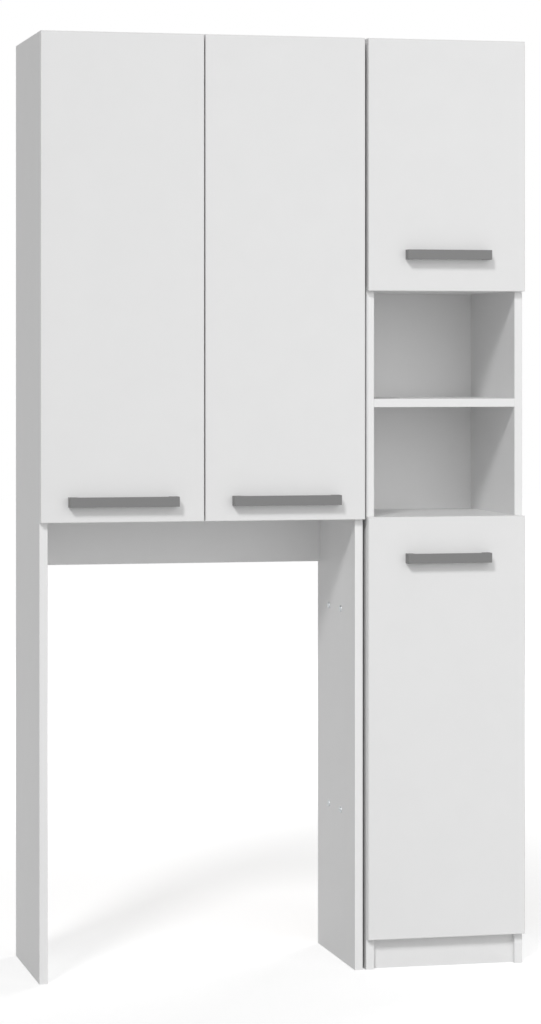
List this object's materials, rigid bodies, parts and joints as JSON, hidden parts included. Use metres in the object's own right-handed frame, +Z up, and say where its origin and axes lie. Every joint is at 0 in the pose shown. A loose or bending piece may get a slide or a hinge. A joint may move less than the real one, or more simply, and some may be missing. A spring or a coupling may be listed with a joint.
{
  "type": "bathroom cabinet",
  "caption": "White bathroom storage set: tall cabinet bridging a washing machine with a hinged-door cupboard, beside a narrow column with doors and open niches.",
  "frame": {"origin": "on the floor, under the centre of the whole set's bounding box", "axes": "+Z up, doors face -Y, +X to the right of a person facing the doors"},
  "size_m": [0.967, 0.342, 1.825],
  "materials": {
    "white_board": "matte white melamine on chipboard",
    "white_door_board": "matte white melamine on chipboard",
    "white_hardboard": "white lacquered hardboard",
    "grey_handle_metal": "matte mid-grey powder coat",
    "nickel_hinge_steel": "nickel-plated pressed steel",
    "zinc_steel": "zinc-plated steel",
    "zinc_casting": "raw zinc casting",
    "beech": "bare beech",
    "grey_plastic": "moulded grey plastic",
    "soft_pad": "clear soft plastic"
  },
  "bodies": {
    "carcass": {"bay_side_left": "white_board", "bay_side_right": "white_board", "bay_unit_top": "white_board", "cupboard_floor": "white_board", "cupboard_shelf_low": "white_board", "cupboard_shelf_high": "white_board", "cupboard_back": "white_hardboard", "rear_rail": "white_board", "column_side_left": "white_board", "column_side_right": "white_board", "column_top": "white_board", "niche_ceiling": "white_board", "niche_shelf": "white_board", "niche_floor": "white_board", "column_bottom": "white_board", "column_shelf_top": "white_board", "column_shelf_low": "white_board", "column_shelf_mid": "white_board", "plinth": "white_board", "column_back": "white_hardboard", "shelf_pins": "zinc_steel", "cams": "zinc_casting", "cam_bolts": "zinc_steel", "dowels": "beech", "unit_spacers": "grey_plastic", "unit_bolts": "zinc_steel", "wall_brackets": "zinc_steel", "bracket_screws": "zinc_steel", "hinge_arms": "nickel_hinge_steel", "hinge_arm_screws": "zinc_steel", "hinge_bases": "nickel_hinge_steel", "hinge_base_screws": "zinc_steel"},
    "wide_left_levers": {"wide_levers_left": "nickel_hinge_steel"},
    "wide_left_leaf": {"wide_door_left": "white_door_board", "wide_handle_left": "grey_handle_metal", "wide_handle_screws_left": "zinc_steel", "wide_cups_left": "nickel_hinge_steel", "wide_cup_screws_left": "zinc_steel", "wide_pads_left": "soft_pad"},
    "wide_right_levers": {"wide_levers_right": "nickel_hinge_steel"},
    "wide_right_leaf": {"wide_door_right": "white_door_board", "wide_handle_right": "grey_handle_metal", "wide_handle_screws_right": "zinc_steel", "wide_cups_right": "nickel_hinge_steel", "wide_cup_screws_right": "zinc_steel", "wide_pads_right": "soft_pad"},
    "top_levers": {"top_levers": "nickel_hinge_steel"},
    "top_leaf": {"top_door": "white_door_board", "top_handle": "grey_handle_metal", "top_handle_screws": "zinc_steel", "top_cups": "nickel_hinge_steel", "top_cup_screws": "zinc_steel", "top_pads": "soft_pad"},
    "tall_levers": {"tall_levers": "nickel_hinge_steel"},
    "tall_leaf": {"tall_door": "white_door_board", "tall_handle": "grey_handle_metal", "tall_handle_screws": "zinc_steel", "tall_cups": "nickel_hinge_steel", "tall_cup_screws": "zinc_steel", "tall_pads": "soft_pad"}
  },
  "joints": [
    {"name": "wide_left_door_swing", "type": "hinge", "parent": "wide_left_levers", "child": "wide_left_leaf", "pos_m": [-0.4734, -0.135, 1.3545], "axis": [0, 0, -1], "range_deg": [0, 130.15]},
    {"name": "wide_left_lever_pivot", "type": "hinge", "parent": "carcass", "child": "wide_left_levers", "pos_m": [-0.454, -0.128, 1.3545], "axis": [0, 0, 1], "range_deg": [0, 35.2]},
    {"name": "wide_right_door_swing", "type": "hinge", "parent": "wide_right_levers", "child": "wide_right_leaf", "pos_m": [0.1464, -0.135, 1.3545], "axis": [0, 0, 1], "range_deg": [0, 130.15]},
    {"name": "wide_right_lever_pivot", "type": "hinge", "parent": "carcass", "child": "wide_right_levers", "pos_m": [0.127, -0.128, 1.3545], "axis": [0, 0, -1], "range_deg": [0, 35.2]},
    {"name": "top_door_swing", "type": "hinge", "parent": "top_levers", "child": "top_leaf", "pos_m": [0.4734, -0.135, 1.578], "axis": [0, 0, 1], "range_deg": [0, 130.15]},
    {"name": "top_lever_pivot", "type": "hinge", "parent": "carcass", "child": "top_levers", "pos_m": [0.454, -0.128, 1.578], "axis": [0, 0, -1], "range_deg": [0, 35.2]},
    {"name": "tall_door_swing", "type": "hinge", "parent": "tall_levers", "child": "tall_leaf", "pos_m": [0.4734, -0.135, 0.4745], "axis": [0, 0, 1], "range_deg": [0, 130.15]},
    {"name": "tall_lever_pivot", "type": "hinge", "parent": "carcass", "child": "tall_levers", "pos_m": [0.454, -0.128, 0.4745], "axis": [0, 0, -1], "range_deg": [0, 35.2]}
  ],
  "couplings": [
    {"joint": "wide_left_lever_pivot", "follows": "wide_left_door_swing", "ratio": 0.27007},
    {"joint": "wide_right_lever_pivot", "follows": "wide_right_door_swing", "ratio": 0.27007},
    {"joint": "top_lever_pivot", "follows": "top_door_swing", "ratio": 0.27007},
    {"joint": "tall_lever_pivot", "follows": "tall_door_swing", "ratio": 0.27007}
  ]
}
